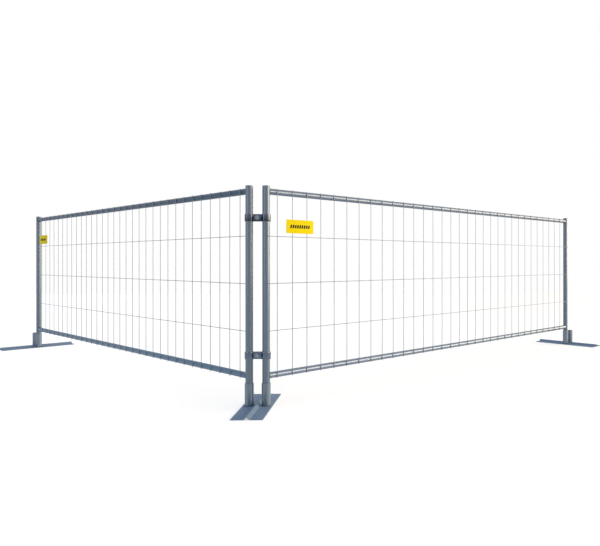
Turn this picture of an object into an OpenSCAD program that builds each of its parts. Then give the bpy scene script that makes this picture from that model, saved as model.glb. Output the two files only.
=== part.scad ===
// Low site fence: two welded mesh panels coupled at a corner and standing in three ridged feet.
// Millimetres, +Z up. The origin is on the ground under the middle of the corner foot,
// and +Y halves the corner, away from its outside.

/* [Panel frame] */
// Distance between the axes of a panel's two posts
post_span = 3464; // [1800:1:3600]
// Length of a post tube, from the foot plate to its open top
post_height = 1214; // [900:1:2000]
// Outside diameter of a post
post_d = 42; // [38:0.5:48]
// Wall of a post
post_wall = 2; // [1.2:0.1:3]
// Outside diameter of a rail
rail_d = 35; // [26:0.1:37]
// Wall of a rail
rail_wall = 1.5; // [1:0.1:3]
// Distance from the top of the post tube down to the top rail's axis
top_rail_drop = 28; // [25:1:80]
// Height of the bottom rail's axis above the foot plate
bottom_rail_rise = 164; // [155:1:260]
// Height of the rim of a post cap
cap_rim = 3; // [1:0.5:8]
// Chamfer round the rim of a post cap
cap_chamfer = 1.5; // [0.5:0.1:3]
// Length of a cap's spigot inside the post
cap_spigot = 14; // [6:1:30]
// Length of the taper at the end of the spigot
cap_lead = 2.8; // [1:0.1:5]
// Gap between a cap's spigot and the post's bore
cap_clearance = 0.2; // [0.1:0.05:0.5]

/* [Mesh] */
// Diameter of the mesh wires
wire_d = 3.5; // [3:0.1:5]
// Distance between neighbouring upright wires
wire_pitch = 105; // [80:1:150]
// Distance from the inner post's axis to the first upright wire
first_wire = 61; // [50:1:120]
// Length of an upright wire past the outside of each rail
wire_stub = 1; // [0.5:0.5:12]
// Length of a cross wire past each post's axis
cross_stub = 8; // [2:0.5:16]
// Distance from each rail's axis to the nearest cross wire
end_bay = 249; // [225:1:300]
// Number of cross wires
cross_count = 3; // [2:1:5]
// Gap left between pieces that are welded together
weld_gap = 0.05; // [0.02:0.01:0.2]

/* [Corner] */
// Angle between the two panels
corner_angle = 90; // [40:1:180]

/* [Feet] */
// Length of a foot plate
foot_length = 600; // [400:10:900]
// Thickness of a foot plate
foot_thickness = 5; // [3:0.5:5.5]
// Plate beyond the outside of each sleeve
foot_margin = 11.5; // [6:0.25:40]
// Radius of the plate's corners
foot_corner = 6; // [2:0.5:20]
// Width of the pressed ridge, on the underside
ridge_width = 30; // [18:1:30]
// Height of the pressed ridge, on the underside
ridge_height = 17; // [6:1:20]
// Inside radius of the ridge's bends
ridge_bend = 2; // [1:0.5:2.5]
// Height of a sleeve
sleeve_height = 124; // [60:1:128]
// Wall of a sleeve
sleeve_wall = 3; // [2:0.1:5]
// Gap between a post and the sleeve round it
sleeve_clearance = 0.8; // [0.4:0.1:1.5]
// Clear gap between the two sleeves of a foot
sleeve_gap = 43; // [43:0.5:80]
// Leg of the weld round the bottom of a sleeve
weld_leg = 3; // [2:0.25:3.25]
// Chamfer round the mouth of a sleeve
mouth_chamfer = 1; // [0.5:0.1:1.5]

/* [Couplers] */
// Height of a coupler's shells
coupler_height = 41; // [30:1:60]
// Thickness of a coupler's shells
shell_thickness = 4; // [3:0.25:6]
// Gap between a post and the shell's seat round it
seat_clearance = 0.3; // [0.2:0.05:0.6]
// Gap between the front and rear shells
parting_gap = 8; // [4:0.5:14]
// Radius of the bend from seat to web, on the outside of the shell
web_bend = 4; // [2:0.5:6]
// Distance from the top rail's axis down to the upper coupler's middle
upper_coupler_drop = 147; // [60:1:190]
// Distance from the bottom rail's axis up to the lower coupler's middle
lower_coupler_rise = 114; // [60:1:190]

/* [Coupler bolts] */
// Diameter of the bolt
bolt_d = 12; // [8:0.5:14]
// Gap round the bolt in the front shell and the washer
bolt_clearance = 0.6; // [0.3:0.1:1]
// Gap between the nut's thread and the bolt's
thread_clearance = 0.1; // [0.05:0.01:0.2]
// Diameter of the bolt's cup head
bolt_head_d = 28; // [22:1:32]
// Height of the bolt's cup head
bolt_head_h = 7; // [4:0.5:10]
// Length of the square neck under the head
bolt_neck = 3.5; // [2:0.25:8]
// Gap round the square neck in the rear shell
neck_clearance = 0.2; // [0.1:0.05:0.5]
// Length of bolt past the outside of the tightened nut
bolt_tail = 8; // [6:0.5:20]
// Chamfer on the end of the bolt
bolt_point = 1.2; // [0.5:0.1:2]
// Outside diameter of the washer
washer_d = 26; // [20:1:30]
// Thickness of the washer
washer_t = 2.5; // [1:0.25:4]
// Width of the nut across its flats
nut_flats = 19; // [17:0.5:24]
// Height of the nut
nut_h = 10; // [6:0.5:14]
// Chamfer on the corners of the nut
nut_chamfer = 1.4; // [0.5:0.1:2]

/* [Signs] */
// Width of the sign plate
sign_w = 195; // [170:1:240]
// Height of the sign plate
sign_h = 78; // [60:1:100]
// Thickness of the sign plate
sign_t = 2; // [1:0.25:4]
// Radius of the sign plate's corners
sign_corner = 6; // [2:0.5:15]
// Distance from the top rail's axis down to the sign's middle
sign_drop = 189; // [80:1:190]
// Height of a backing strip
strip_h = 16; // [12:0.5:20]
// Thickness of a backing strip
strip_t = 2; // [1:0.25:4]
// Radius of a backing strip's corners
strip_corner = 4; // [1:0.5:6]
// Distance from a backing strip's end to the sign's end
strip_inset = 12; // [5:0.5:20]
// Distance from the sign's edge to a backing strip's middle
strip_edge = 16; // [12:0.5:20]
// Diameter of a rivet's shank
rivet_d = 4.8; // [3:0.1:6]
// Diameter of a rivet's heads
rivet_head_d = 9.5; // [7:0.25:11]
// Height of a rivet's heads
rivet_head_h = 1.4; // [0.8:0.1:3]
// Distance from an upright wire's axis to the rivets beside it
rivet_offset = 18; // [10:0.5:25]
// Gap round a rivet's shank
rivet_clearance = 0.1; // [0.05:0.05:0.3]

/* [Hidden] */
$fn = 48;
RIGHT = 1;
LEFT = -1;
UPPER = 1;
LOWER = -1;
FRONT = 1;
REAR = -1;
// Number of straight steps in a rounded bend of the foot plate
BEND_STEPS = 6;
// Overshoot of a cutting shape past the face it cuts
CUT = 1;
// Depth by which a round crosses the two faces that it blends, so that they meet in a clean edge
BLEND = 0.01;
// Slope of the chamfer on a nut's corners
NUT_SLOPE = 30;

GALVANISED = "#8d98a4";
RAIL_STEEL = "#a5aeb6";
WIRE_STEEL = "#c2c8cd";
COUPLER_STEEL = "#56626f";
BOLT_STEEL = "#7d8792";
SIGN_YELLOW = "#f3c40b";

post_r = post_d / 2;
rail_r = rail_d / 2;
wire_r = wire_d / 2;

// Feet: the sleeves take their bore from the post, and the plate its width from the sleeves
sleeve_bore_r = post_r + sleeve_clearance;
sleeve_r = sleeve_bore_r + sleeve_wall;
post_spacing = 2 * sleeve_r + sleeve_gap;
foot_width = post_spacing + 2 * sleeve_r + 2 * foot_margin;

// Heights above the ground
post_foot_z = foot_thickness;
post_top_z = post_foot_z + post_height;
top_rail_z = post_top_z - top_rail_drop;
bottom_rail_z = post_foot_z + bottom_rail_rise;
cross_low_z = bottom_rail_z + end_bay;
cross_step = (top_rail_z - bottom_rail_z - 2 * end_bay) / (cross_count - 1);
upper_coupler_z = top_rail_z - upper_coupler_drop;
lower_coupler_z = bottom_rail_z + lower_coupler_rise;
sign_z = top_rail_z - sign_drop;

// Each panel runs from its inner post, turned in from a straight line of fence
panel_turn = (180 - corner_angle) / 2;
upright_count = floor((post_span - 2 * first_wire) / wire_pitch) + 1;

// Distances out from the panel's middle plane, towards the outside of the corner
upright_out = rail_r + weld_gap + wire_r;
cross_out = max(post_r + weld_gap, upright_out + wire_r + weld_gap) + wire_r;
sign_back_out = upright_out + wire_r + weld_gap;
sign_front_out = sign_back_out + sign_t;
strip_front_out = upright_out - wire_r - weld_gap;
strip_back_out = strip_front_out - strip_t;

// Couplers: the seats take their radius from the post
seat_r = post_r + seat_clearance;
seat_outer_r = seat_r + shell_thickness;
web_inner_y = parting_gap / 2;
web_outer_y = web_inner_y + shell_thickness;
washer_out_y = web_outer_y + washer_t;
nut_out_y = washer_out_y + nut_h;
bolt_tip_y = nut_out_y + bolt_tail;

// Places

// Puts a panel's own frame on its side of the corner: x runs along the panel from the inner post,
// and -y points out of the corner
module on_panel(side) {
  if (side == RIGHT) from_inner_post() children();
  else mirror([1, 0, 0]) from_inner_post() children();
}

module from_inner_post() {
  translate([post_spacing / 2, 0, 0]) rotate([0, 0, panel_turn]) children();
}

// Middle of the foot at a panel's outer end, with the post in its nearer sleeve
module at_outer_foot(side) {
  on_panel(side) translate([post_span + post_spacing / 2, 0, 0]) children();
}

module at_coupler(level) {
  translate([0, 0, level == UPPER ? upper_coupler_z : lower_coupler_z]) children();
}

// Along a coupler's bolt: z runs out of the front of the corner, from the middle of the coupler
module along_bolt() {
  rotate([90, 0, 0]) children();
}

// Distance along a panel to the middle of its sign: between the second and third upright wires on the
// right panel, and between the last two on the left one, so each sign is at the left seen from outside
function sign_x(side) =
  first_wire + wire_pitch * (side == RIGHT ? 1.5 : upright_count - 1.5);

// Shapes that repeat

module tube(outer_r, wall, length) {
  difference() {
    cylinder(r = outer_r, h = length);
    translate([0, 0, -CUT]) cylinder(r = outer_r - wall, h = length + 2 * CUT);
  }
}

module rounded_rectangle(w, h, r) {
  square([w - 2 * r, h], center = true);
  square([w, h - 2 * r], center = true);
  for (sx = [-1, 1], sy = [-1, 1]) {
    translate([sx * (w / 2 - r), sy * (h / 2 - r)]) circle(r);
  }
}

function arc(centre, r, from, to) = [
  for (i = [0:BEND_STEPS])
    let (a = from + (to - from) * i / BEND_STEPS)
      [centre[0] + r * cos(a), centre[1] + r * sin(a)]
];

// Panel frame

module post_tube() {
  translate([0, 0, post_foot_z]) tube(post_r, post_wall, post_height);
}

module inner_post(side) {
  color(GALVANISED) on_panel(side) post_tube();
}

module outer_post(side) {
  color(GALVANISED) on_panel(side) translate([post_span, 0, 0]) post_tube();
}

// Pressed plug: a chamfered rim on the tube's end and a spigot with a lead-in below it
module cap() {
  spigot_r = post_r - post_wall - cap_clearance;
  chamfer = min(cap_chamfer, cap_rim / 2);
  rotate_extrude() polygon([
    [0, -cap_spigot], [spigot_r - cap_lead / 2, -cap_spigot], [spigot_r, cap_lead - cap_spigot], [spigot_r, 0],
    [post_r, 0], [post_r, cap_rim - chamfer], [post_r - chamfer, cap_rim], [0, cap_rim]
  ]);
}

module post_caps(side) {
  color(GALVANISED) on_panel(side) {
    for (x = [0, post_span]) {
      translate([x, 0, post_top_z]) cap();
    }
  }
}

// Tube between the posts, coped at both ends to the round of the post
module rail(side, z) {
  color(RAIL_STEEL) on_panel(side) difference() {
    translate([0, 0, z]) rotate([0, 90, 0]) tube(rail_r, rail_wall, post_span);
    for (x = [0, post_span]) {
      translate([x, 0, z - rail_d]) cylinder(r = post_r + weld_gap, h = 2 * rail_d);
    }
  }
}

// Mesh

module upright_wires(side) {
  low = bottom_rail_z - rail_r - wire_stub;
  high = top_rail_z + rail_r + wire_stub;
  color(WIRE_STEEL) on_panel(side) {
    for (i = [0:upright_count - 1]) {
      translate([first_wire + i * wire_pitch, -upright_out, low]) cylinder(r = wire_r, h = high - low);
    }
  }
}

module cross_wires(side) {
  color(WIRE_STEEL) on_panel(side) {
    for (i = [0:cross_count - 1]) {
      translate([-cross_stub, -cross_out, cross_low_z + i * cross_step])
        rotate([0, 90, 0]) cylinder(r = wire_r, h = post_span + 2 * cross_stub);
    }
  }
}

// Signs

// The sign's own frame: x and y across the plate, z out of its face, from the panel's middle plane
module at_sign(side) {
  on_panel(side) translate([sign_x(side), 0, sign_z]) rotate([90, 0, 0]) children();
}

module at_rivets() {
  for (sx = [-1, 1], sy = [-1, 1]) {
    translate([sx * (wire_pitch / 2 - rivet_offset), sy * (sign_h / 2 - strip_edge), 0]) children();
  }
}

module rivet_holes() {
  at_rivets() translate([0, 0, strip_back_out - CUT])
    cylinder(r = rivet_d / 2 + rivet_clearance, h = sign_front_out - strip_back_out + 2 * CUT);
}

module sign_plate(side) {
  color(SIGN_YELLOW) at_sign(side) difference() {
    translate([0, 0, sign_back_out]) linear_extrude(sign_t) rounded_rectangle(sign_w, sign_h, sign_corner);
    rivet_holes();
  }
}

module sign_backing(side) {
  color(GALVANISED) at_sign(side) difference() {
    for (sy = [-1, 1]) {
      translate([0, sy * (sign_h / 2 - strip_edge), strip_back_out]) linear_extrude(strip_t)
        rounded_rectangle(sign_w - 2 * strip_inset, strip_h, strip_corner);
    }
    rivet_holes();
  }
}

// Domed head: a slice of a ball, flat side down
module dome(d, h) {
  ball_r = (d * d / 4 + h * h) / (2 * h);
  rotate_extrude() intersection() {
    translate([0, h - ball_r]) circle(ball_r);
    square([d / 2, h]);
  }
}

module sign_rivets(side) {
  color(BOLT_STEEL) at_sign(side) at_rivets() {
    translate([0, 0, sign_front_out]) dome(rivet_head_d, rivet_head_h);
    translate([0, 0, strip_back_out]) cylinder(r = rivet_d / 2, h = sign_front_out - strip_back_out);
    translate([0, 0, strip_back_out]) mirror([0, 0, 1]) dome(rivet_head_d, rivet_head_h);
  }
}

// Feet

// Plate with a ridge folded up along its middle. Both faces follow the same three bends.
module foot_profile() {
  slope = atan(2 * ridge_height / ridge_width);
  outer_bend = ridge_bend + foot_thickness;
  foot_bend_x = ridge_width / 2 + outer_bend * tan(slope / 2);
  crown = [0, ridge_height - ridge_bend / cos(slope)];
  left_bend = [-foot_bend_x, outer_bend];
  right_bend = [foot_bend_x, outer_bend];
  polygon(concat(
    [[-foot_width / 2, 0]],
    arc(left_bend, outer_bend, -90, slope - 90),
    arc(crown, ridge_bend, 90 + slope, 90 - slope),
    arc(right_bend, outer_bend, -90 - slope, -90),
    [[foot_width / 2, 0], [foot_width / 2, foot_thickness]],
    arc(right_bend, ridge_bend, -90, -90 - slope),
    arc(crown, outer_bend, 90 - slope, 90 + slope),
    arc(left_bend, ridge_bend, slope - 90, -90),
    [[-foot_width / 2, foot_thickness]]
  ));
}

module foot_plate() {
  crown_z = ridge_height + 2 * (ridge_bend + foot_thickness);
  color(GALVANISED) intersection() {
    rotate([90, 0, 0]) linear_extrude(foot_length, center = true) foot_profile();
    translate([0, 0, -CUT]) linear_extrude(crown_z + 2 * CUT)
      rounded_rectangle(foot_width, foot_length, foot_corner);
  }
}

// Socket tube with the weld that runs round its bottom
module sleeve(side) {
  color(GALVANISED) translate([side * post_spacing / 2, 0, foot_thickness]) rotate_extrude() polygon([
    [sleeve_bore_r, 0], [sleeve_r + weld_leg, 0], [sleeve_r, weld_leg],
    [sleeve_r, sleeve_height - mouth_chamfer], [sleeve_r - mouth_chamfer, sleeve_height],
    [sleeve_bore_r, sleeve_height]
  ]);
}

// Couplers

// Fills the corner between a circle and a level line with a round of radius r. The round lies outside the
// circle and above the line, and crosses each of them a little.
module corner_round(circle_r, line_y, r) {
  centre_y = line_y + r - BLEND;
  reach = circle_r + r - BLEND;
  centre_x = sqrt(reach * reach - centre_y * centre_y);
  back_r = circle_r - CUT;
  back_y = line_y - CUT;
  difference() {
    polygon([
      [centre_x, centre_y], back_r / reach * [centre_x, centre_y],
      [sqrt(back_r * back_r - back_y * back_y), back_y], [centre_x, back_y]
    ]);
    translate([centre_x, centre_y]) circle(r);
  }
}

// Each seat's own frame in plan: x runs from the post's axis to the middle of the coupler
module at_seats() {
  for (flip = [0, 1]) {
    mirror([flip, 0]) translate([post_spacing / 2, 0]) mirror([1, 0]) children();
  }
}

// A shell in plan: sheet of one thickness, bent round both posts, with a flat web between them.
// y runs out from the parting plane.
module shell_profile() {
  difference() {
    union() {
      translate([-post_spacing / 2, web_inner_y]) square([post_spacing, shell_thickness]);
      at_seats() {
        intersection() {
          circle(seat_outer_r);
          translate([-seat_outer_r - CUT, web_inner_y]) square([2 * (seat_outer_r + CUT), seat_outer_r]);
        }
        corner_round(seat_outer_r, web_outer_y, web_bend);
      }
    }
    at_seats() {
      circle(seat_r);
      corner_round(seat_r, web_inner_y, web_bend + shell_thickness);
    }
  }
}

module shell_body(face) {
  translate([0, 0, -coupler_height / 2]) linear_extrude(coupler_height)
    mirror([0, face == FRONT ? 1 : 0]) shell_profile();
}

module front_shell(level) {
  color(COUPLER_STEEL) at_coupler(level) difference() {
    shell_body(FRONT);
    along_bolt() cylinder(r = bolt_d / 2 + bolt_clearance, h = web_outer_y + CUT);
  }
}

module rear_shell(level) {
  neck_hole = bolt_d + 2 * neck_clearance;
  color(COUPLER_STEEL) at_coupler(level) difference() {
    shell_body(REAR);
    along_bolt() translate([-neck_hole / 2, -neck_hole / 2, -web_outer_y - CUT])
      cube([neck_hole, neck_hole, web_outer_y + CUT]);
  }
}

// Cup head and square neck behind, plain shank with a chamfered end in front
module bolt(level) {
  point_y = bolt_tip_y - bolt_point;
  color(BOLT_STEEL) at_coupler(level) along_bolt() {
    translate([0, 0, -web_outer_y]) mirror([0, 0, 1]) dome(bolt_head_d, bolt_head_h);
    translate([-bolt_d / 2, -bolt_d / 2, -web_outer_y]) cube([bolt_d, bolt_d, bolt_neck]);
    translate([0, 0, -web_outer_y]) cylinder(d = bolt_d, h = web_outer_y + point_y);
    translate([0, 0, point_y]) cylinder(d1 = bolt_d, d2 = bolt_d - 2 * bolt_point, h = bolt_point);
  }
}

module washer(level) {
  bore = bolt_d / 2 + bolt_clearance;
  color(BOLT_STEEL) at_coupler(level) along_bolt() translate([0, 0, web_outer_y])
    tube(washer_d / 2, washer_d / 2 - bore, washer_t);
}

// Hexagon with its corners turned off at both ends
module nut(level) {
  corner_r = nut_flats / 2 / cos(30);
  chamfer_h = nut_chamfer * tan(NUT_SLOPE);
  color(BOLT_STEEL) at_coupler(level) along_bolt() translate([0, 0, washer_out_y]) difference() {
    intersection() {
      cylinder(r = corner_r, h = nut_h, $fn = 6);
      rotate_extrude() polygon([
        [0, 0], [corner_r - nut_chamfer, 0], [corner_r, chamfer_h], [corner_r, nut_h - chamfer_h],
        [corner_r - nut_chamfer, nut_h], [0, nut_h]
      ]);
    }
    translate([0, 0, -CUT]) cylinder(d = bolt_d + 2 * thread_clearance, h = nut_h + 2 * CUT);
  }
}

inner_post(RIGHT);  // right_inner_post
outer_post(RIGHT);  // right_outer_post
post_caps(RIGHT);  // right_post_caps
rail(RIGHT, top_rail_z);  // right_top_rail
rail(RIGHT, bottom_rail_z);  // right_bottom_rail
upright_wires(RIGHT);  // right_upright_wires
cross_wires(RIGHT);  // right_cross_wires
sign_plate(RIGHT);  // right_sign_plate
sign_backing(RIGHT);  // right_sign_backing
sign_rivets(RIGHT);  // right_sign_rivets
inner_post(LEFT);  // left_inner_post
outer_post(LEFT);  // left_outer_post
post_caps(LEFT);  // left_post_caps
rail(LEFT, top_rail_z);  // left_top_rail
rail(LEFT, bottom_rail_z);  // left_bottom_rail
upright_wires(LEFT);  // left_upright_wires
cross_wires(LEFT);  // left_cross_wires
sign_plate(LEFT);  // left_sign_plate
sign_backing(LEFT);  // left_sign_backing
sign_rivets(LEFT);  // left_sign_rivets
foot_plate();  // corner_foot_plate
sleeve(RIGHT);  // corner_right_sleeve
sleeve(LEFT);  // corner_left_sleeve
at_outer_foot(RIGHT) foot_plate();  // right_foot_plate
at_outer_foot(RIGHT) sleeve(LEFT);  // right_foot_post_sleeve
at_outer_foot(RIGHT) sleeve(RIGHT);  // right_foot_free_sleeve
at_outer_foot(LEFT) foot_plate();  // left_foot_plate
at_outer_foot(LEFT) sleeve(LEFT);  // left_foot_post_sleeve
at_outer_foot(LEFT) sleeve(RIGHT);  // left_foot_free_sleeve
front_shell(UPPER);  // upper_front_shell
rear_shell(UPPER);  // upper_rear_shell
bolt(UPPER);  // upper_bolt
washer(UPPER);  // upper_washer
nut(UPPER);  // upper_nut
front_shell(LOWER);  // lower_front_shell
rear_shell(LOWER);  // lower_rear_shell
bolt(LOWER);  // lower_bolt
washer(LOWER);  // lower_washer
nut(LOWER);  // lower_nut
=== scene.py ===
"""Finishes, welds, threads and signs of the site fence, with its floor, light and camera. Metres."""
import math

import bmesh
import bpy
from mathutils import Matrix, Vector


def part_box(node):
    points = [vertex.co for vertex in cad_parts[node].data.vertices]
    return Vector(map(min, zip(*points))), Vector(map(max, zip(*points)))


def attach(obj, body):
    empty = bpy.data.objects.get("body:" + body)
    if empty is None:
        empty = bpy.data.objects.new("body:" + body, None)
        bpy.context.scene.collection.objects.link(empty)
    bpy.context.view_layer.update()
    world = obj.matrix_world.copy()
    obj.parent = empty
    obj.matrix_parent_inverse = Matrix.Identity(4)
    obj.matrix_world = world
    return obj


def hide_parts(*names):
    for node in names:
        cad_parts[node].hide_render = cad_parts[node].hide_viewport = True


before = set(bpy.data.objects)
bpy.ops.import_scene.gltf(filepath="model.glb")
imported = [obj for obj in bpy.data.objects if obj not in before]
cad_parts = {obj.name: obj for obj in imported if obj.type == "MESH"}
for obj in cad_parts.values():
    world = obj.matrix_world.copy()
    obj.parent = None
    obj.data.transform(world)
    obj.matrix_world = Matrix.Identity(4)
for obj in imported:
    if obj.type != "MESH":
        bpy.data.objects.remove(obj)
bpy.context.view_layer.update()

MM = 0.001
UP = Vector((0, 0, 1))
BACK = Vector((0, 1, 0))
ORIGIN = Vector((0, 0, 0))
SQUARE = math.radians(90)
HARD_EDGE = math.radians(60)
SMOOTH_BELOW = math.radians(40)
ROUND_STEPS = 8
EDGE_STEPS = 3
MERGE_WITHIN = 0.001 * MM

# Mesh and welds
WIRE_R = 1.75 * MM
WIRE_PITCH = 105 * MM
FIRST_WIRE = 61 * MM
CROSS_COUNT = 3
WELD_GAP = 0.05 * MM
NUGGET_SIDES = 8
NUGGET_ROWS = 5
NUGGET_RISE = 1.3 * MM
NUGGET_LONG = 4 * MM
NUGGET_SHORT = 2.4 * MM
NUGGET_SMOOTH_BELOW = math.radians(80)
BEAD_SIDES = 8
BEAD_RIPPLE = (1.0, 1.12, 0.95)
STEEP_HEADING = 0.99
RIPPLE_LENGTH = 2.4 * MM
RAIL_BEAD_R = 2.4 * MM
SLEEVE_BEAD_R = 2.8 * MM
SLEEVE_BEAD_LIFT = 0.6 * MM

# Feet
FOOT_SHEET = 5 * MM
FOOT_CORNER = 6 * MM
RIDGE_WIDTH = 30 * MM
RIDGE_HEIGHT = 17 * MM
RIDGE_BEND = 2 * MM
SLEEVE_R = 24.8 * MM
FOOT_EDGE = 0.7 * MM

# Couplers
SHELL_SHEET = 4 * MM
WEB_BEND = 4 * MM
SEAT_CLEARANCE = 0.3 * MM
PARTING_GAP = 8 * MM
SHELL_EDGE = 0.8 * MM
SEAT_STEPS = 28
BOLT_PATCH = 22 * MM
ROUND_HOLE_R = 6.5 * MM
SQUARE_HOLE = 12.6 * MM

# Bolts
BOLT_R = 6 * MM
BOLT_ROOT_R = 5.1 * MM
BOLT_HEAD_R = 14 * MM
BOLT_HEAD_H = 7 * MM
BOLT_NECK = 3.5 * MM
BOLT_NECK_EDGE = 0.5 * MM
NECK_EDGE_STEPS = 2
BOLT_POINT = 1.2 * MM
HEAD_STEPS = 40
THREAD_PITCH = 1.75 * MM
THREAD_CREST = 0.12
THREAD_STEPS = 28
THREAD_SPARE_TURNS = 2

# Signs
SIGN_WIDTH = 195 * MM
SIGN_HEIGHT = 78 * MM
SIGN_SHEET = 2 * MM
SIGN_CORNER = 6 * MM
SIGN_EDGE = 0.5 * MM
DASH_COUNT = 9
DASH_WIDTH = 11 * MM
DASH_STEP = 16 * MM
DASH_HEIGHT = 20 * MM
DASH_LEAN = 0.25
DASH_RAISE = 0.25 * MM
DASH_CORNER = 2 * MM
STEEP_EDGE = 0.5

# Sizes of the patterns in the finishes
TUBE_CRYSTAL = 10 * MM
TUBE_CLOUD = 150 * MM
TUBE_LINE = (600 * MM, 6 * MM, 6 * MM)
TUBE_GRAIN = 2.5 * MM
PLATE_CRYSTAL = 9 * MM
PLATE_MOTTLE = 45 * MM
PLATE_GRAIN = 1.8 * MM
SCUFF = (60 * MM, 6 * MM, 20 * MM)
SCUFF_TURN = (0, 0, 0.5)
COUPLER_CRYSTAL = 8 * MM
COUPLER_GRAIN = 6 * MM
RIM_RUB = 1 * MM
FASTENER_SPOT = 3 * MM
FASTENER_GRAIN = 0.8 * MM
ENAMEL_HAZE = 30 * MM
ENAMEL_PEEL = 1.5 * MM

# The photograph's frame, and where its view axis meets it, in pixels
IMAGE_W = 600
IMAGE_H = 546
FOCAL_PX = 612.2
AXIS_X = 400.5
AXIS_Y = 261.6
SENSOR_W = 36.0
CAMERA_AT = Vector((0.648, -3.420, 0.8015))
CAMERA_YAW = math.radians(-2.4)

# Floor and light
FLOOR_REACH = 12.0
FLOOR_COLOUR = (237, 230, 224)
FLOOR_GLOW = 0.475
FLOOR_GLOW_LEAN = 0.016
SKY_COLOUR = (0.84, 0.96, 1.1, 1.0)
SKY_LIGHT = 0.6
KEY_COLOUR = (1.0, 0.8, 0.52)
WING_COLOUR = (1.0, 0.76, 0.42)
KEY_AT = Vector((20.0, 1.5, 4.0))
KEY_SIZE = (15.0, 8.0)
KEY_RADIANCE = 8.5
NEAR_WING_AT = Vector((20.0, -11.5, 4.0))
NEAR_WING_SIZE = (10.0, 8.0)
NEAR_WING_RADIANCE = 2.4
FAR_WING_AT = Vector((20.0, 20.5, 4.0))
FAR_WING_SIZE = (23.0, 8.0)
FAR_WING_RADIANCE = 3.0
FILL_COLOUR = (0.94, 0.98, 1.0)
FILL_AT = Vector((-12.0, -10.5, 4.0))
FILL_SIZE = (6.0, 8.0)
FILL_RADIANCE = 2.1


# Places


def middle(node):
    low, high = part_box(node)
    return (low + high) / 2


def half_size(node):
    low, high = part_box(node)
    return (high - low) / 2


def placed(origin, x_axis, y_axis, z_axis):
    return Matrix.Translation(origin) @ Matrix((x_axis, y_axis, z_axis)).transposed().to_4x4()


def sized(x, y, z):
    return Matrix.Diagonal((x, y, z, 1))


class Panel:
    """One panel's own directions, and the distances along it and out of it where its wires lie."""

    def __init__(self, side):
        self.side = side
        self.body = f"{side}_panel"
        inner = middle(f"{side}_inner_post")
        run = middle(f"{side}_outer_post") - inner
        self.start = Vector((inner.x, inner.y, 0))
        self.span = run.length
        self.along = run.normalized()
        self.out = self.along.cross(UP) * (1 if side == "right" else -1)
        self.heading = math.atan2(self.along.y, self.along.x)
        self.post_r = half_size(f"{side}_inner_post").x
        self.rail_r = half_size(f"{side}_top_rail").z
        self.rail_heights = [middle(f"{side}_{end}_rail").z for end in ("bottom", "top")]
        count = int((self.span - 2 * FIRST_WIRE) / WIRE_PITCH) + 1
        self.uprights = [FIRST_WIRE + i * WIRE_PITCH for i in range(count)]
        low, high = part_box(f"{side}_cross_wires")
        step = (high.z - low.z - 2 * WIRE_R) / (CROSS_COUNT - 1)
        self.crosses = [low.z + WIRE_R + i * step for i in range(CROSS_COUNT)]

    def at(self, along, out, height):
        return self.start + along * self.along + out * self.out + height * UP

    def facing(self, place):
        """A place's own axes: x to the right as seen from outside, y up and z out of the panel."""
        return placed(place, UP.cross(self.out), UP, self.out)


# Mesh tools


class Outline:
    """A chain of edges drawn in a mesh, one straight or round stretch at a time."""

    def __init__(self, bm, start):
        self.bm = bm
        self.tip = bm.verts.new(start)

    def line(self, end):
        made = bmesh.ops.extrude_vert_indiv(self.bm, verts=[self.tip])
        self.tip = made["verts"][0]
        self.tip.co = end
        return self

    def arc(self, centre, axis, angle, steps):
        made = bmesh.ops.spin(
            self.bm, geom=[self.tip], cent=centre, axis=axis, angle=angle, steps=steps, use_merge=False
        )
        self.tip = made["geom_last"][0]
        return self


def only(geometry, kind):
    return [g for g in geometry if isinstance(g, kind)]


def drawn_out(bm, edges, move):
    """Draws edges out into a sheet by a move, and returns the sheet's far edges."""
    made = bmesh.ops.extrude_edge_only(bm, edges=edges)["geom"]
    ends = set(only(made, bmesh.types.BMVert))
    bmesh.ops.transform(bm, matrix=move, verts=list(ends))
    return [e for e in only(made, bmesh.types.BMEdge) if ends.issuperset(e.verts)]


def turned(bm, steps):
    """Turns everything drawn so far round the z axis and closes the seam."""
    everything = bm.verts[:] + bm.edges[:]
    bmesh.ops.spin(bm, geom=everything, cent=ORIGIN, axis=UP, angle=math.tau, steps=steps, use_merge=True)
    bmesh.ops.remove_doubles(bm, verts=bm.verts, dist=MERGE_WITHIN)


def softened(bm, edges, offset, segments):
    bmesh.ops.bevel(
        bm, geom=edges, offset=offset, offset_type="OFFSET", segments=segments, profile=0.5,
        affect="EDGES", material=-1, clamp_overlap=True,
    )


def rounded(bm, corners, radius):
    bmesh.ops.bevel(
        bm, geom=corners, offset=radius, offset_type="OFFSET", segments=ROUND_STEPS, profile=0.5,
        affect="VERTICES", material=-1,
    )


def sharp_edges(bm):
    return [e for e in bm.edges if len(e.link_faces) == 2 and e.calc_face_angle() > HARD_EDGE]


def thickened(bm, sheet, towards):
    """Gives a sheet its thickness, on the side that a direction names."""
    bmesh.ops.recalc_face_normals(bm, faces=bm.faces)
    if sum(f.normal.dot(towards) for f in bm.faces) > 0:
        bmesh.ops.reverse_faces(bm, faces=bm.faces[:])
    bmesh.ops.solidify(bm, geom=bm.faces[:], thickness=sheet)


def joined(*shapes):
    """One mesh of several."""
    whole = bmesh.new()
    for shape in shapes:
        passing = bpy.data.meshes.new("passing")
        shape.to_mesh(passing)
        shape.free()
        whole.from_mesh(passing)
        bpy.data.meshes.remove(passing)
    return whole


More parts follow.
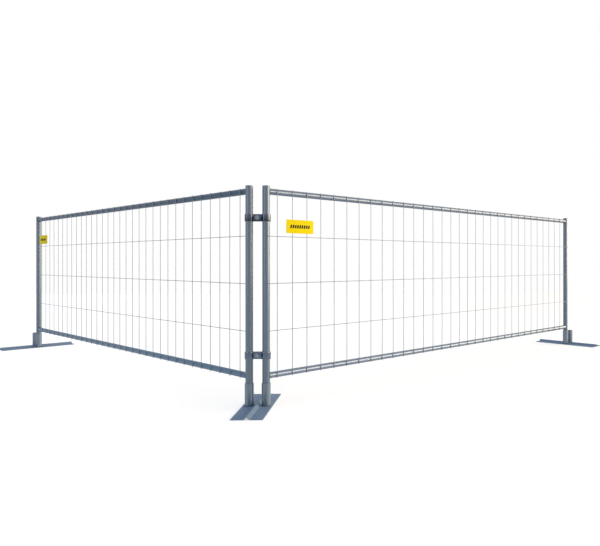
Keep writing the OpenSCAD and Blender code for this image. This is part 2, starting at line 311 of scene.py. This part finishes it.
def piece(name, bm, finish, body, replaces=(), smooth=SMOOTH_BELOW):
    """Makes a mesh a piece of the object, carried by a body."""
    bmesh.ops.recalc_face_normals(bm, faces=bm.faces)
    mesh = bpy.data.meshes.new(name)
    bm.to_mesh(mesh)
    bm.free()
    mesh.shade_smooth()
    mesh.set_sharp_from_angle(angle=smooth)
    mesh.materials.append(finish)
    made = bpy.data.objects.new(name, mesh)
    bpy.context.scene.collection.objects.link(made)
    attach(made, body)
    if replaces:
        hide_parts(*replaces)


# Finishes


class Value:
    """A value on a tree's nodes: sums, differences and products of it add Math nodes."""

    def __init__(self, nodes, socket):
        self.nodes = nodes
        self.socket = socket

    def math(self, operation, first, second=0.0):
        return self.nodes.node("Math", {"operation": operation}, {0: first, 1: second})

    def larger(self, other):
        return self.math("MAXIMUM", self, other)

    def __add__(self, other):
        return self.math("ADD", self, other)

    def __radd__(self, other):
        return self.math("ADD", other, self)

    def __sub__(self, other):
        return self.math("SUBTRACT", self, other)

    def __rsub__(self, other):
        return self.math("SUBTRACT", other, self)

    def __mul__(self, other):
        return self.math("MULTIPLY", self, other)

    def __rmul__(self, other):
        return self.math("MULTIPLY", other, self)

    def __abs__(self):
        return self.math("ABSOLUTE", self)


class Nodes:
    """A node tree, grown one node at a time."""

    def __init__(self, tree):
        self.tree = tree
        tree.nodes.clear()

    def node(self, kind, settings=None, inputs=None, output=0):
        made = self.tree.nodes.new("ShaderNode" + kind)
        for key, value in (settings or {}).items():
            setattr(made, key, value)
        for key, value in (inputs or {}).items():
            if isinstance(value, Value):
                self.tree.links.new(value.socket, made.inputs[key])
            else:
                made.inputs[key].default_value = value
        return Value(self, made.outputs[output]) if made.outputs else None

    def shown(self):
        """One for a ray that shows what is there, straight, mirrored or through glass, and else zero."""
        straight, mirrored, through = (
            self.node("LightPath", output=f"Is {kind} Ray") for kind in ("Camera", "Glossy", "Transmission")
        )
        return straight.larger(mirrored).larger(through)


class Finish(Nodes):
    """A material's nodes, written as expressions and fed to one shader."""

    def __init__(self, name):
        self.material = bpy.data.materials.new(name)
        self.material.use_nodes = True
        super().__init__(self.material.node_tree)
        self.place = self.node("TexCoord", output="Object")

    def mapped(self, turn, stretch):
        inputs = {"Vector": self.place, "Rotation": turn, "Scale": stretch}
        return self.node("Mapping", {"vector_type": "TEXTURE"}, inputs)

    def coordinate(self, axis):
        return self.node("SeparateXYZ", {}, {0: self.place}, axis)

    def noise(self, size, detail=3.0, vector=None):
        inputs = {"Vector": vector or self.place, "Scale": 1 / size, "Detail": detail, "Roughness": 0.55}
        return self.node("TexNoise", {}, inputs)

    def crystals(self, size):
        """A steady random number for each cell of a crystal pattern."""
        inputs = {"Vector": self.place, "Scale": 1 / size}
        colour = self.node("TexVoronoi", {"feature": "F1"}, inputs, "Color")
        return self.node("SeparateColor", {}, {0: colour})

    def ramp(self, value, low, high):
        settings = {"interpolation_type": "SMOOTHSTEP"}
        return self.node("MapRange", settings, {"Value": value, "From Min": low, "From Max": high})

    def blend(self, amount, first, second):
        return self.node("Mix", {"data_type": "RGBA"}, {0: amount, 6: first, 7: second}, 2)

    def bump(self, height, distance, strength):
        return self.node("Bump", {}, {"Height": height, "Distance": distance, "Strength": strength})

    def made(self, **inputs):
        named = {key.replace("_", " ").title().replace("Ior", "IOR"): value for key, value in inputs.items()}
        self.node("OutputMaterial", {}, {"Surface": self.node("BsdfPrincipled", {}, named)})
        return self.material


def shade(red, green, blue):
    """A colour as a screen shows it, from 0 to 255."""
    shares = [channel / 255 for channel in (red, green, blue)]
    return tuple(s / 12.92 if s <= 0.04045 else ((s + 0.055) / 1.055) ** 2.4 for s in shares) + (1.0,)


BLACK = shade(0, 0, 0)
WHITE = shade(255, 255, 255)
PALE = shade(230, 230, 230)


def tube_zinc(name, dark, light, turn, coat):
    """Hot-dip zinc on drawn tube: frosted crystals, cloudy patches and faint lines along the tube."""
    zinc = Finish(name)
    crystals = zinc.crystals(TUBE_CRYSTAL)
    clouds = zinc.noise(TUBE_CLOUD, detail=4.0)
    lines = zinc.noise(size=1.0, detail=2.0, vector=zinc.mapped(turn, TUBE_LINE))
    fine = zinc.noise(TUBE_GRAIN)
    tone = 0.2 * crystals + 0.3 * clouds + 0.5 * lines
    return zinc.made(
        base_color=zinc.blend(tone, dark, light),
        metallic=0.75,
        roughness=0.4 + 0.04 * clouds,
        coat_weight=coat,
        coat_roughness=0.15,
        coat_ior=1.75,
        normal=zinc.bump(fine, distance=0.01 * MM, strength=0.05),
    )


def plate_zinc(name, dark, light):
    """Weathered zinc on plate: dull grey-blue, mottled, with pale scuffs."""
    zinc = Finish(name)
    mottle = zinc.noise(PLATE_MOTTLE, detail=5.0)
    crystals = zinc.crystals(PLATE_CRYSTAL)
    strokes = zinc.noise(size=1.0, detail=6.0, vector=zinc.mapped(SCUFF_TURN, SCUFF))
    scuffs = zinc.ramp(strokes, low=0.6, high=0.72)
    fine = zinc.noise(PLATE_GRAIN)
    metal = zinc.blend(0.6 * mottle + 0.4 * crystals, dark, light)
    return zinc.made(
        base_color=zinc.blend(0.3 * scuffs, metal, PALE),
        metallic=0.1,
        roughness=0.55 + 0.12 * mottle - 0.1 * scuffs,
        specular_ior_level=0.15,
        normal=zinc.bump(0.7 * fine + 0.3 * mottle, distance=0.12 * MM, strength=0.3),
    )


def coupler_zinc(level, bottom, top, bottom_coat, top_coat):
    """Pressed and dipped steel, rubbed bright along both rims, with painted light and shade in its colour
    and its coat from its bottom to its top.
    """
    zinc = Finish(f"{level}_coupler_zinc")
    shell = f"{level}_rear_shell"
    half = half_size(shell).z
    above_middle = zinc.coordinate("Z") - middle(shell).z
    painted_light_upwards = zinc.ramp(above_middle, -half, half)
    grain = zinc.noise(COUPLER_GRAIN, detail=4.0)
    crystals = zinc.crystals(COUPLER_CRYSTAL)
    rub = zinc.ramp(abs(above_middle) + 2 * RIM_RUB * grain, half - RIM_RUB, half + RIM_RUB)
    # Painted light: the colour and the coat weight blend upwards, as painted shade low down and painted
    # sheen higher up.
    body = zinc.blend(0.7 * painted_light_upwards + 0.3 * crystals, bottom, top)
    return zinc.made(
        base_color=zinc.blend(0.2 * rub, body, PALE),
        metallic=0.75,
        roughness=0.2 + 0.08 * crystals - 0.04 * rub,
        coat_weight=bottom_coat + (top_coat - bottom_coat) * painted_light_upwards,
        coat_roughness=0.08,
        coat_ior=1.75,
        normal=zinc.bump(grain, distance=0.08 * MM, strength=0.1),
    )


def bright_zinc(name, dark, light):
    """Plated fasteners: fine grain and small dull spots."""
    zinc = Finish(name)
    spots = zinc.ramp(zinc.noise(FASTENER_SPOT, detail=4.0), low=0.45, high=0.7)
    fine = zinc.noise(FASTENER_GRAIN)
    return zinc.made(
        base_color=zinc.blend(0.6 * spots + 0.4 * fine, light, dark),
        metallic=0.9,
        roughness=0.24 + 0.2 * spots,
        normal=zinc.bump(fine, distance=0.05 * MM, strength=0.2),
    )


def enamel(name, dark, light):
    """Sign enamel with a faint haze and orange peel."""
    paint = Finish(name)
    haze = paint.noise(ENAMEL_HAZE, detail=4.0)
    peel = paint.noise(ENAMEL_PEEL)
    return paint.made(
        base_color=paint.blend(haze, dark, light),
        roughness=0.45 + 0.15 * haze,
        specular_ior_level=0.05,
        normal=paint.bump(peel, distance=0.05 * MM, strength=0.1),
    )


def build_finishes():
    upright = (0, -SQUARE, 0)
    along_right = (0, 0, SQUARE / 2)
    along_left = (0, 0, -SQUARE / 2)
    # Dark shade, light shade, the tube's direction and the weight of its coat
    tubes = {
        "post": (shade(71, 87, 105), shade(94, 110, 128), upright, 0.4),
        # The sleeves are the posts' zinc, painted lighter as painted light.
        "sleeve": (shade(86, 101, 118), shade(111, 125, 142), upright, 0.4),
        "wire": (shade(88, 100, 114), shade(116, 127, 140), upright, 0.4),
        # The four rails are one tube: their different shades are painted light and shade, darkest on the top
        # left rail and lightest on the bottom right rail, whose bluer shades paint its highlight's tint.
        "right_top_rail": (shade(86, 99, 119), shade(110, 123, 143), along_right, 0.35),
        "right_bottom_rail": (shade(98, 112, 133), shade(122, 136, 157), along_right, 0.28),
        "left_top_rail": (shade(41, 64, 88), shade(60, 85, 109), along_left, 0.1),
        "left_bottom_rail": (shade(71, 98, 124), shade(91, 117, 143), along_left, 0.1),
    }
    return {key: tube_zinc(f"{key}_zinc", *values) for key, values in tubes.items()} | {
        "foot": plate_zinc("foot_zinc", shade(101, 123, 150), shade(128, 148, 172)),
        # The welds' dark shades are partly the duller zinc of a weld and partly painted shade where the
        # welds join their parts.
        "weld": plate_zinc("weld_zinc", shade(58, 70, 86), shade(96, 108, 122)),
        # The two couplers are the same steel: the upper one's dark shades are painted shade, the lower one's
        # lighter shades painted light.
        "upper_coupler": coupler_zinc(
            "upper", shade(20, 30, 44), shade(48, 68, 92), bottom_coat=0.2, top_coat=0.6
        ),
        "lower_coupler": coupler_zinc(
            "lower", shade(90, 103, 122), shade(78, 91, 110), bottom_coat=0.15, top_coat=0.1
        ),
        "bolt": bright_zinc("fastener_zinc", shade(82, 95, 110), shade(134, 148, 164)),
        "sign": enamel("sign_enamel", shade(236, 210, 0), shade(241, 216, 4)),
        "print": enamel("sign_print", shade(26, 24, 20), shade(48, 44, 36)),
    }


def dress_cad_nodes(finishes):
    """Gives a node the finish of its own name, or else the one that the end of its name calls for."""
    endings = {
        "post": "post", "caps": "post", "backing": "post", "sleeve": "sleeve", "wires": "wire",
        "sign_plate": "sign", "rivets": "sign", "foot_plate": "foot", "shell": "upper_coupler",
        "bolt": "bolt", "washer": "bolt", "nut": "bolt",
    }
    for name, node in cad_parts.items():
        key = name if name in finishes else next(endings[end] for end in endings if name.endswith(end))
        node.data.materials.clear()
        node.data.materials.append(finishes[key])


# Welds


def bead(bm, stations):
    """Sweeps a round bead through a closed run of places, and closes it on itself."""
    ring = bmesh.ops.create_circle(bm, segments=BEAD_SIDES, radius=1, matrix=stations[0])["verts"]
    first = list({e for v in ring for e in v.link_edges})
    loop = first
    for before, now in zip(stations, stations[1:]):
        loop = drawn_out(bm, loop, now @ before.inverted())
    bmesh.ops.bridge_loops(bm, edges=first + loop)


def bead_stations(point, radius, around):
    """Places along a closed curve, point(turn) for a turn from 0 to tau, with the ripples of a hand weld."""
    steps = len(BEAD_RIPPLE) * round(around / RIPPLE_LENGTH)
    stations = []
    for i in range(steps):
        turn = math.tau * i / steps
        ahead = math.tau * (i + 1) / steps
        heading = (point(ahead) - point(2 * turn - ahead)).normalized()
        steep = abs(heading.dot(UP)) > STEEP_HEADING
        side = heading.orthogonal() if steep else heading.cross(UP).normalized()
        swell = radius * BEAD_RIPPLE[i % len(BEAD_RIPPLE)]
        axes = placed(point(turn), side, heading.cross(side), heading)
        stations.append(axes @ sized(swell, swell, swell))
    return stations


def rail_welds(panel, finish):
    """The saddle welds where both rails meet both posts."""
    bm = bmesh.new()
    for height in panel.rail_heights:
        for post, inwards in ((0, 1), (panel.span, -1)):

            def saddle(turn):
                out = panel.rail_r * math.cos(turn)
                reach = math.sqrt(panel.post_r**2 - out**2)
                return panel.at(post + inwards * reach, out, height + panel.rail_r * math.sin(turn))

            bead(bm, bead_stations(saddle, RAIL_BEAD_R, math.tau * panel.rail_r))
    piece(f"{panel.side}_rail_welds", bm, finish, panel.body)


def sleeve_weld(sleeve, body, finish):
    """The weld that runs round the bottom of a sleeve."""
    centre = middle(sleeve)
    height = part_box(sleeve)[0].z + SLEEVE_BEAD_LIFT
    radius = SLEEVE_R + SLEEVE_BEAD_LIFT

    def ring(turn):
        return Vector((centre.x + radius * math.cos(turn), centre.y + radius * math.sin(turn), height))

    bm = bmesh.new()
    bead(bm, bead_stations(ring, SLEEVE_BEAD_R, math.tau * radius))
    piece(f"{sleeve}_weld", bm, finish, body)


def wire_welds(panel, finish):
    """A flattened nugget at each place where a wire is welded to a wire, a rail or a post."""
    crossing = panel.rail_r + 2 * (WELD_GAP + WIRE_R)
    spots = [(x, crossing, z, NUGGET_SHORT, NUGGET_SHORT) for x in panel.uprights for z in panel.crosses]
    spots += [
        (x, panel.rail_r, z, NUGGET_SHORT, NUGGET_LONG) for x in panel.uprights for z in panel.rail_heights
    ]
    spots += [
        (x, panel.post_r, z, NUGGET_LONG, NUGGET_SHORT) for x in (0, panel.span) for z in panel.crosses
    ]
    bm = bmesh.new()
    for along, out, height, wide, tall in spots:
        bmesh.ops.create_uvsphere(
            bm, u_segments=NUGGET_SIDES, v_segments=NUGGET_ROWS, radius=1,
            matrix=panel.facing(panel.at(along, out, height)) @ sized(wide, tall, NUGGET_RISE),
        )
    piece(f"{panel.side}_wire_welds", bm, finish, panel.body, smooth=NUGGET_SMOOTH_BELOW)


# Feet


def foot_plate(name, body, heading, finish):
    """Plate with a ridge folded up along its middle and its edges rolled."""
    low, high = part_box("corner_foot_plate")
    width, length = high.x - low.x, high.y - low.y
    front = -length / 2
    slope = math.atan2(RIDGE_HEIGHT, RIDGE_WIDTH / 2)
    bm = bmesh.new()
    outline = Outline(bm, (-width / 2, front, 0))
    outline.line((-RIDGE_WIDTH / 2, front, 0)).line((0, front, RIDGE_HEIGHT))
    outline.line((RIDGE_WIDTH / 2, front, 0)).line((width / 2, front, 0))
    drawn_out(bm, bm.edges[:], Matrix.Translation((0, length, 0)))
    folds = [e for e in bm.edges if len(e.link_faces) == 2]
    crown = [e for e in folds if e.verts[0].co.z > RIDGE_HEIGHT / 2]
    softened(bm, crown, RIDGE_BEND * math.tan(slope), ROUND_STEPS)
    roots = [e for e in bm.edges if len(e.link_faces) == 2 and all(v.co.z < FOOT_EDGE for v in e.verts)]
    softened(bm, roots, (RIDGE_BEND + FOOT_SHEET) * math.tan(slope / 2), ROUND_STEPS)
    rounded(bm, [v for v in bm.verts if len(v.link_edges) == 2 and abs(v.co.x) > RIDGE_WIDTH], FOOT_CORNER)
    thickened(bm, FOOT_SHEET, UP)
    softened(bm, sharp_edges(bm), FOOT_EDGE, EDGE_STEPS)
    place = middle(name)
    turn = Matrix.Rotation(heading, 4, "Z")
    bmesh.ops.transform(bm, matrix=Matrix.Translation((place.x, place.y, 0)) @ turn, verts=bm.verts)
    piece(f"{name}_folded", bm, finish, body, [name])


# Couplers


def coupler_shell(level, face, body, finish):
    """Sheet bent round both posts, with a flat web between them that the bolt goes through."""
    name = f"{level}_{face}_shell"
    height = 2 * half_size(name).z
    seat_x = middle("right_inner_post").x
    seat_r = half_size("right_inner_post").x + SEAT_CLEARANCE
    web_y = PARTING_GAP / 2
    bend_r = WEB_BEND + SHELL_SHEET
    bend_y = web_y + bend_r
    bend_x = seat_x - math.sqrt((seat_r + bend_r) ** 2 - bend_y**2)
    lip = math.asin(web_y / seat_r)
    lean = math.asin(bend_y / (seat_r + bend_r))
    wrap = math.pi - lip - lean
    bend = SQUARE - lean
    bottom = -height / 2
    bm = bmesh.new()
    outline = Outline(bm, (seat_x + seat_r * math.cos(lip), web_y, bottom))
    outline.arc((seat_x, 0, 0), UP, wrap, SEAT_STEPS)
    outline.arc((bend_x, bend_y, 0), UP, -bend, ROUND_STEPS)
    outline.line((BOLT_PATCH / 2, web_y, bottom)).line((-BOLT_PATCH / 2, web_y, bottom))
    outline.line((-bend_x, web_y, bottom))
    outline.arc((-bend_x, bend_y, 0), UP, -bend, ROUND_STEPS)
    outline.arc((-seat_x, 0, 0), UP, wrap, SEAT_STEPS)
    rim = bm.edges[:]
    for rise in ((height - BOLT_PATCH) / 2, BOLT_PATCH, (height - BOLT_PATCH) / 2):
        rim = drawn_out(bm, rim, Matrix.Translation((0, 0, rise)))
    centre = Vector((0, web_y, 0))
    patch = min(bm.faces, key=lambda f: (f.calc_center_median() - centre).length)
    around = patch.edges[:]
    bmesh.ops.delete(bm, geom=[patch], context="FACES_ONLY")
    upright = Matrix.Translation(centre) @ Matrix.Rotation(SQUARE, 4, "X")
    if face == "front":
        hole = bmesh.ops.create_circle(bm, segments=4 * ROUND_STEPS, radius=ROUND_HOLE_R, matrix=upright)
    else:
        level_sides = upright @ Matrix.Rotation(SQUARE / 2, 4, "Z")
        hole = bmesh.ops.create_circle(bm, segments=4, radius=SQUARE_HOLE / math.sqrt(2), matrix=level_sides)
    bmesh.ops.bridge_loops(bm, edges=around + list({e for v in hole["verts"] for e in v.link_edges}))
    thickened(bm, SHELL_SHEET, BACK)
    softened(bm, sharp_edges(bm), SHELL_EDGE, EDGE_STEPS)
    about = Matrix.Rotation(math.pi if face == "front" else 0, 4, "Z")
    bmesh.ops.transform(bm, matrix=Matrix.Translation((0, 0, middle(name).z)) @ about, verts=bm.verts)
    piece(f"{name}_pressed", bm, finish, body, [name])


def bolt_head(top, seat):
    """Cup head and square neck, with z forwards along the bolt."""
    ball_r = (BOLT_HEAD_R**2 + BOLT_HEAD_H**2) / (2 * BOLT_HEAD_H)
    cup = bmesh.new()
    outline = Outline(cup, (0, 0, top))
    outline.arc((0, 0, top + ball_r), BACK, math.asin(BOLT_HEAD_R / ball_r), ROUND_STEPS)
    outline.line((0, 0, seat))
    turned(cup, HEAD_STEPS)
    neck = bmesh.new()
    bmesh.ops.create_cube(neck, size=1, matrix=sized(2 * BOLT_R, 2 * BOLT_R, BOLT_NECK))
    softened(neck, neck.edges[:], BOLT_NECK_EDGE, NECK_EDGE_STEPS)
    bmesh.ops.translate(neck, vec=(0, 0, seat + BOLT_NECK / 2), verts=neck.verts)
    return joined(cup, neck)


def bolt_thread(start, end):
    """Cut thread from start to end along z, with a chamfered point."""
    bm = bmesh.new()
    flank = (1 - THREAD_CREST) / 2 * THREAD_PITCH
    low = start - THREAD_PITCH
    outline = Outline(bm, (BOLT_ROOT_R, 0, low)).line((BOLT_R, 0, low + flank))
    outline.line((BOLT_R, 0, low + THREAD_PITCH - flank)).line((BOLT_ROOT_R, 0, low + THREAD_PITCH))
    turns = math.ceil((end - start) / THREAD_PITCH) + THREAD_SPARE_TURNS
    bmesh.ops.spin(
        bm, geom=bm.verts[:] + bm.edges[:], cent=ORIGIN, axis=UP, angle=math.tau * turns,
        steps=THREAD_STEPS * turns, dvec=(0, 0, THREAD_PITCH / THREAD_STEPS), use_merge=False,
    )
    bmesh.ops.remove_doubles(bm, verts=bm.verts, dist=MERGE_WITHIN)
    for height, outwards in ((start, -UP), (end, UP)):
        bmesh.ops.bisect_plane(
            bm, geom=bm.verts[:] + bm.edges[:] + bm.faces[:], plane_co=(0, 0, height), plane_no=outwards,
            clear_outer=True,
        )
    bmesh.ops.holes_fill(bm, edges=[e for e in bm.edges if e.is_boundary])
    for vert in bm.verts:
        limit = BOLT_R - BOLT_POINT + end - vert.co.z
        radius = math.hypot(vert.co.x, vert.co.y)
        if radius > limit:
            vert.co.xy *= limit / radius
    return bm


def bolt(level, finish):
    """Cup square bolt, put in from behind."""
    name = f"{level}_bolt"
    low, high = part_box(name)
    seat = BOLT_HEAD_H - high.y
    bm = joined(bolt_head(-high.y, seat), bolt_thread(seat + BOLT_NECK, -low.y))
    forwards = Matrix.Translation((0, 0, middle(name).z)) @ Matrix.Rotation(SQUARE, 4, "X")
    bmesh.ops.transform(bm, matrix=forwards, verts=bm.verts)
    piece(f"{name}_threaded", bm, finish, "corner_stand", [name])


# Signs


def sign(panel, enamel_finish, print_finish):
    """Plate with rounded corners, and a row of leaning dashes printed across its middle."""
    name = f"{panel.side}_sign_plate"
    face = panel.facing(middle(name))
    plate = bmesh.new()
    halves = sized(SIGN_WIDTH / 2, SIGN_HEIGHT / 2, 1)
    bmesh.ops.create_grid(plate, x_segments=1, y_segments=1, size=1, matrix=halves)
    rounded(plate, plate.verts[:], SIGN_CORNER)
    thickened(plate, SIGN_SHEET, UP)
    softened(plate, sharp_edges(plate), SIGN_EDGE, EDGE_STEPS)
    bmesh.ops.transform(plate, matrix=face @ Matrix.Translation((0, 0, -SIGN_SHEET / 2)), verts=plate.verts)
    piece(f"{name}_enamelled", plate, enamel_finish, panel.body, [name])
    leaning = Matrix.Identity(4)
    leaning[0][1] = DASH_LEAN
    dashes = bmesh.new()
    for i in range(DASH_COUNT):
        centre = Matrix.Translation(((i - (DASH_COUNT - 1) / 2) * DASH_STEP, 0, SIGN_SHEET / 2))
        bmesh.ops.create_cube(
            dashes, size=1, matrix=centre @ leaning @ sized(DASH_WIDTH, DASH_HEIGHT, 2 * DASH_RAISE)
        )
    ends = [(e, (e.verts[0].co - e.verts[1].co).normalized()) for e in dashes.edges]
    upright = [e for e, heading in ends if abs(heading.z) > STEEP_EDGE]
    softened(dashes, upright, DASH_CORNER, EDGE_STEPS)
    bmesh.ops.transform(dashes, matrix=face, verts=dashes.verts)
    piece(f"{panel.side}_sign_dashes", dashes, print_finish, panel.body)


# Floor, light and camera


def add_floor():
    bm = bmesh.new()
    bmesh.ops.create_grid(bm, x_segments=1, y_segments=1, size=FLOOR_REACH)
    mesh = bpy.data.meshes.new("floor")
    bm.to_mesh(mesh)
    bm.free()
    floor = bpy.data.objects.new("floor", mesh)
    bpy.context.scene.collection.objects.link(floor)
    ground = Finish("pale_floor")
    lit = ground.node("BsdfDiffuse", {}, {"Color": shade(*FLOOR_COLOUR)})
    strength = (FLOOR_GLOW - FLOOR_GLOW_LEAN * ground.coordinate("X")) * ground.shown()
    glow = ground.node("Emission", {}, {"Color": ground.blend(strength, BLACK, WHITE)})
    ground.node("OutputMaterial", {}, {"Surface": ground.node("AddShader", {}, {0: lit, 1: glow})})
    mesh.materials.append(ground.material)


def add_world():
    world = bpy.data.worlds.new("studio")
    world.use_nodes = True
    bpy.context.scene.world = world
    sky = Nodes(world.node_tree)
    soft = sky.node("Background", {}, {"Color": SKY_COLOUR, "Strength": SKY_LIGHT})
    white = sky.node("Background", {}, {"Color": WHITE, "Strength": 1.0})
    both = sky.node("MixShader", {}, {0: sky.shown(), 1: soft, 2: white})
    sky.node("OutputWorld", {}, {"Surface": both})


def add_softbox(name, at, size, radiance, colour):
    """A soft box that stands upright beside the fence: radiance is what a mirror would show of it."""
    width, height = size
    lamp = bpy.data.lights.new(name, "AREA")
    lamp.shape = "RECTANGLE"
    lamp.size, lamp.size_y = width, height
    lamp.color = colour
    lamp.energy = radiance * math.pi * width * height
    box = bpy.data.objects.new(name, lamp)
    box.location = at
    box.rotation_euler = Vector((-at.x, 0, 0)).to_track_quat("-Z", "Y").to_euler()
    box.visible_camera = False
    bpy.context.scene.collection.objects.link(box)


def add_camera():
    lens = bpy.data.cameras.new("camera")
    lens.sensor_fit = "HORIZONTAL"
    lens.sensor_width = SENSOR_W
    lens.lens = SENSOR_W * FOCAL_PX / IMAGE_W
    lens.shift_x = (IMAGE_W / 2 - AXIS_X) / IMAGE_W
    lens.shift_y = (AXIS_Y - IMAGE_H / 2) / IMAGE_W
    camera = bpy.data.objects.new("camera", lens)
    camera.location = CAMERA_AT
    camera.rotation_euler = (SQUARE, 0, CAMERA_YAW)
    bpy.context.scene.collection.objects.link(camera)
    bpy.context.scene.camera = camera


add_camera()
finishes = build_finishes()
dress_cad_nodes(finishes)
for panel in (Panel("right"), Panel("left")):
    side = panel.side
    rail_welds(panel, finishes["weld"])
    wire_welds(panel, finishes["wire"])
    sign(panel, finishes["sign"], finishes["print"])
    foot_plate(f"{side}_foot_plate", f"{side}_foot", panel.heading, finishes["foot"])
    sleeve_weld(f"corner_{side}_sleeve", "corner_stand", finishes["weld"])
    sleeve_weld(f"{side}_foot_post_sleeve", f"{side}_foot", finishes["weld"])
    sleeve_weld(f"{side}_foot_free_sleeve", f"{side}_foot", finishes["weld"])
foot_plate("corner_foot_plate", "corner_stand", heading=0.0, finish=finishes["foot"])
for level in ("upper", "lower"):
    coupler_shell(level, "front", f"{level}_clamp", finishes[f"{level}_coupler"])
    coupler_shell(level, "rear", "corner_stand", finishes[f"{level}_coupler"])
    bolt(level, finishes["bolt"])
add_floor()
add_world()
add_softbox("key", KEY_AT, KEY_SIZE, KEY_RADIANCE, KEY_COLOUR)
add_softbox("near_wing", NEAR_WING_AT, NEAR_WING_SIZE, NEAR_WING_RADIANCE, WING_COLOUR)
add_softbox("far_wing", FAR_WING_AT, FAR_WING_SIZE, FAR_WING_RADIANCE, WING_COLOUR)
add_softbox("fill", FILL_AT, FILL_SIZE, FILL_RADIANCE, FILL_COLOUR)
bpy.context.scene.view_settings.view_transform = "Standard"
